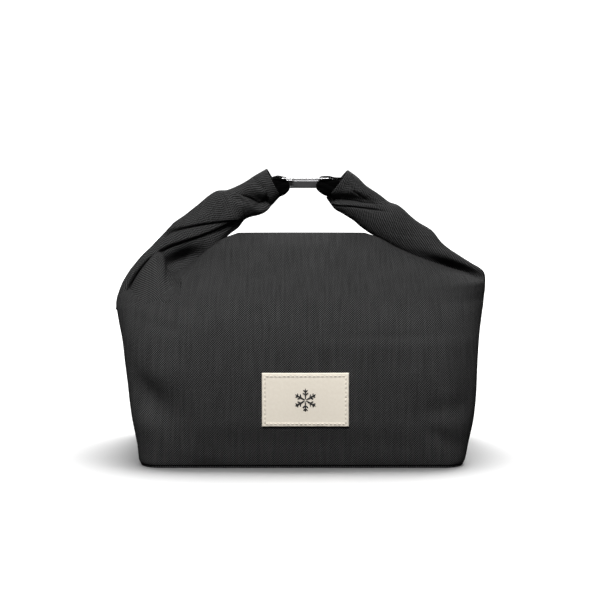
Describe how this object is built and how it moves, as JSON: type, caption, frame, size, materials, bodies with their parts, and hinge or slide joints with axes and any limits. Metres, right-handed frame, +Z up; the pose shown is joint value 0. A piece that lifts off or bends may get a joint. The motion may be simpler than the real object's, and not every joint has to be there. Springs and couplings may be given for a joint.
{
  "type": "insulated cooler bag",
  "caption": "Soft insulated lunch bag whose rolled top turns up into a handle closed by a metal gate ring.",
  "frame": {"origin": "middle of the base, on the surface it stands on", "axes": "+Z up, +X along the bag's width to the right seen from the front, -Y towards the front"},
  "size_m": [0.274, 0.1505, 0.2065],
  "materials": {
    "twill": "matt twill",
    "webbing": "matt webbing",
    "foam": "closed-cell foam",
    "liner": "silvered film",
    "board": "satin sheet",
    "steel": "polished",
    "gate_steel": "brushed",
    "label_cotton": "plain-weave cotton"
  },
  "bodies": {
    "bag": {"front_panel": "twill", "back_panel": "twill", "base_panel": "twill", "base_board": "board", "base_foam": "foam", "front_foam": "foam", "back_foam": "foam", "liner": "liner", "left_seam_binding": "webbing", "right_seam_binding": "webbing", "top_roll": "twill", "label": "label_cotton", "label_stitching": "label_cotton"},
    "left_handle_arm": {"left_arm": "twill", "left_loop": "webbing"},
    "right_handle_arm": {"right_arm": "twill", "right_loop": "webbing"},
    "ring": {"clip_frame": "steel", "gate_pin": "steel"},
    "gate": {"clip_gate": "gate_steel", "gate_spring": "steel"}
  },
  "joints": [
    {"name": "left_arm_open", "type": "hinge", "parent": "bag", "child": "left_handle_arm", "pos_m": [-0.107, 0.01, 0.145], "axis": [0, -1, 0], "range_deg": [0, 90]},
    {"name": "right_arm_open", "type": "hinge", "parent": "bag", "child": "right_handle_arm", "pos_m": [0.107, 0.01, 0.145], "axis": [0, 1, 0], "range_deg": [0, 90]},
    {"name": "ring_turn", "type": "hinge", "parent": "left_handle_arm", "child": "ring", "pos_m": [-0.0183, 0.01, 0.1995], "axis": [0, -1, 0], "range_deg": [0, 80]},
    {"name": "gate_open", "type": "hinge", "parent": "ring", "child": "gate", "pos_m": [0.0155, 0.0027, 0.1995], "axis": [0, 0, -1], "range_deg": [0, 25], "stiffness_Nm_per_rad": 0.005, "springref_deg": -5.73}
  ]
}
